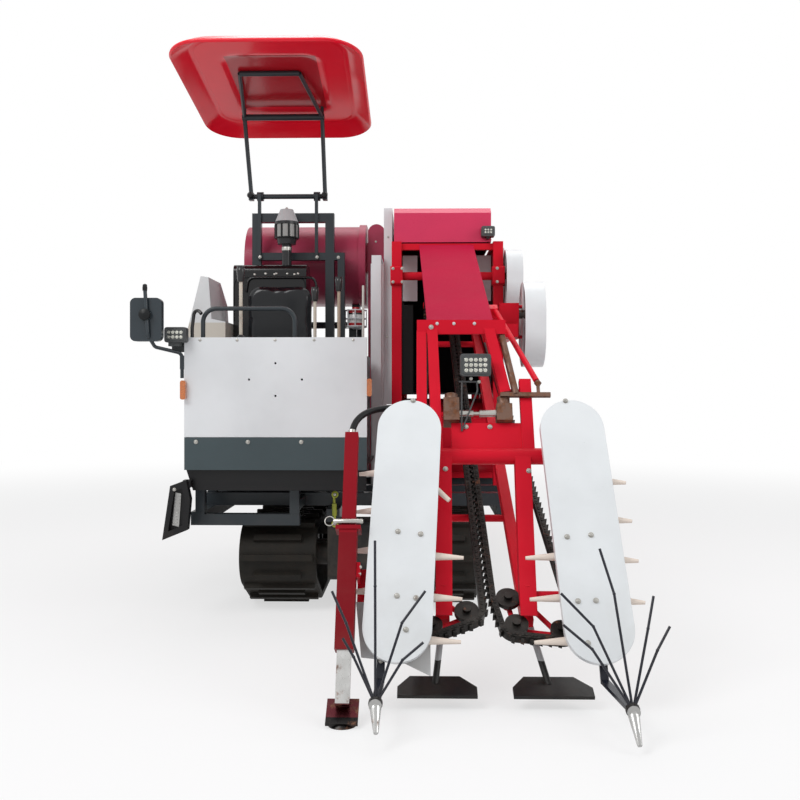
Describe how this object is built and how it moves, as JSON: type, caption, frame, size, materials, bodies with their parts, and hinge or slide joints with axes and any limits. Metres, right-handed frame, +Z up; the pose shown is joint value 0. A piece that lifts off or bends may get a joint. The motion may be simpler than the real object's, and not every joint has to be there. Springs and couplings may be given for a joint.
{
  "type": "self-propelled peanut harvester",
  "caption": "Self-propelled peanut harvester on rubber crawler tracks, with a lifting digging and conveying header, picking unit, tipping hopper, operator seat and canopy.",
  "frame": {"origin": "on the ground, under the middle of the machine's bounding box", "axes": "+Z up, the machine drives towards -Y with its header in front, +X is its left-hand side with the crop conveyor"},
  "size_m": [1.9784, 4.7006, 2.7506],
  "materials": {
    "track_rubber": "dusty moulded rubber",
    "running_steel": "dusty dark paint",
    "dark_paint": "satin dark paint",
    "slate_paint": "semi-gloss slate paint",
    "white_paint": "gloss white paint",
    "pale_paint": "gloss pale paint",
    "grey_green_paint": "satin grey-green paint",
    "bare_iron": "oily cast iron",
    "brown_iron": "primer brown casting",
    "black_hood": "polished black",
    "seat_cover": "shiny black vinyl",
    "silver_plastic": "metallic grey",
    "dark_plastic": "grained black",
    "lever_knobs": "glossy black knobs on pale shafts",
    "lamp_body": "dark grey housing",
    "amber_lens": "amber lens",
    "red_roof": "glossy moulded red",
    "red_paint": "gloss red paint",
    "bright_steel": "ground steel",
    "black_chain": "oiled black steel",
    "black_paint": "black paint",
    "cream_fingers": "cream moulded rubber",
    "hose_rubber": "smooth black hose"
  },
  "bodies": {
    "chassis": {"air_precleaner": "silver_plastic", "belt_guards": "white_paint", "boarding_step": "dark_paint", "chassis_frame": "slate_paint", "control_console": "dark_plastic", "control_levers": "lever_knobs", "drive_case": "white_paint", "drive_gearbox": "dark_paint", "engine_block": "bare_iron", "engine_cover": "black_hood", "fan_housing": "red_paint", "front_panel": "white_paint", "handrail": "slate_paint", "hopper_stand": "slate_paint", "lower_panel": "grey_green_paint", "marker_lamps": "amber_lens", "picking_box": "dark_paint", "picking_frame": "red_paint", "picking_panels": "white_paint", "platform_frame": "slate_paint", "pod_elevator": "red_paint", "radiator_cover": "white_paint", "roll_frame": "slate_paint", "seat_back": "seat_cover", "seat_cushion": "seat_cover", "side_mirror": "dark_plastic", "sieve_box": "red_paint", "top_hood": "red_paint", "track_left": "track_rubber", "track_right": "track_rubber", "track_wheels": "running_steel", "undercarriage_frame": "dark_paint", "vine_chute": "red_paint", "work_lamps": "lamp_body"},
    "header": {"header_frame": "red_paint", "conveyor_cover": "red_paint", "clamp_chains": "black_chain", "chain_wheels": "black_chain", "header_gearboxes": "brown_iron", "adjusting_rod": "bright_steel", "row_covers": "white_paint", "row_guides": "pale_paint", "finger_chains": "cream_fingers", "row_dividers": "black_paint", "digging_shovels": "black_paint", "jack_tube": "red_paint", "header_lamp": "lamp_body", "header_hoses": "hose_rubber"},
    "jack_leg": {"jack_leg": "bright_steel"},
    "lift_barrel": {"lift_barrel": "dark_paint"},
    "lift_rod": {"lift_rod": "bright_steel"},
    "canopy": {"canopy_roof": "red_roof", "canopy_frame": "slate_paint"},
    "hopper": {"hopper": "red_paint"},
    "tipping_barrel": {"tipping_barrel": "dark_paint"},
    "tipping_rod": {"tipping_rod": "bright_steel"},
    "fan": {"fan_rotor": "bright_steel"},
    "front_pulley": {"front_pulley": "bare_iron"},
    "rear_pulley": {"rear_pulley": "bare_iron"}
  },
  "joints": [
    {"name": "header_lift", "type": "hinge", "parent": "chassis", "child": "header", "pos_m": [0.39, -0.195, 1.606], "axis": [-1, 0, 0], "range_deg": [0, 12]},
    {"name": "lift_swing", "type": "hinge", "parent": "chassis", "child": "lift_barrel", "pos_m": [0.297, -0.47, 0.6], "axis": [-1, 0, 0], "range_deg": [0, 6.23]},
    {"name": "lift_extend", "type": "slide", "parent": "lift_barrel", "child": "lift_rod", "axis": [0, -0.8757, 0.4829], "range_m": [0, 0.21392]},
    {"name": "jack_slide", "type": "slide", "parent": "header", "child": "jack_leg", "axis": [0, 0.4593, 0.8883], "range_m": [0, 0.12]},
    {"name": "canopy_fold", "type": "hinge", "parent": "chassis", "child": "canopy", "pos_m": [-0.485, 0.38, 2.13], "axis": [1, 0, 0], "range_deg": [0, 45]},
    {"name": "hopper_tip", "type": "hinge", "parent": "chassis", "child": "hopper", "pos_m": [-0.745, 0.745, 1.513], "axis": [0, -1, 0], "range_deg": [0, 50]},
    {"name": "tipping_swing", "type": "hinge", "parent": "chassis", "child": "tipping_barrel", "pos_m": [-0.68, 0.78, 0.62], "axis": [0, -1, 0], "range_deg": [0, 3.38]},
    {"name": "tipping_extend", "type": "slide", "parent": "tipping_barrel", "child": "tipping_rod", "axis": [0.1373, 0, 0.9905], "range_m": [0, 0.15772]},
    {"name": "fan_spin", "type": "hinge", "parent": "chassis", "child": "fan", "pos_m": [0.39, 0.23, 0.77], "axis": [1, 0, 0], "continuous": true},
    {"name": "front_pulley_spin", "type": "hinge", "parent": "chassis", "child": "front_pulley", "pos_m": [0.75, -0.64, 1.377], "axis": [1, 0, 0], "continuous": true},
    {"name": "rear_pulley_spin", "type": "hinge", "parent": "chassis", "child": "rear_pulley", "pos_m": [0.72, -0.179, 1.606], "axis": [1, 0, 0], "continuous": true}
  ],
  "couplings": [
    {"joint": "lift_swing", "follows": "header_lift", "ratio": 0.50899},
    {"joint": "lift_extend", "follows": "header_lift", "m_per_rad": 1.0013},
    {"joint": "tipping_swing", "follows": "hopper_tip", "ratio": 0.06627},
    {"joint": "tipping_extend", "follows": "hopper_tip", "m_per_rad": 0.17719}
  ]
}
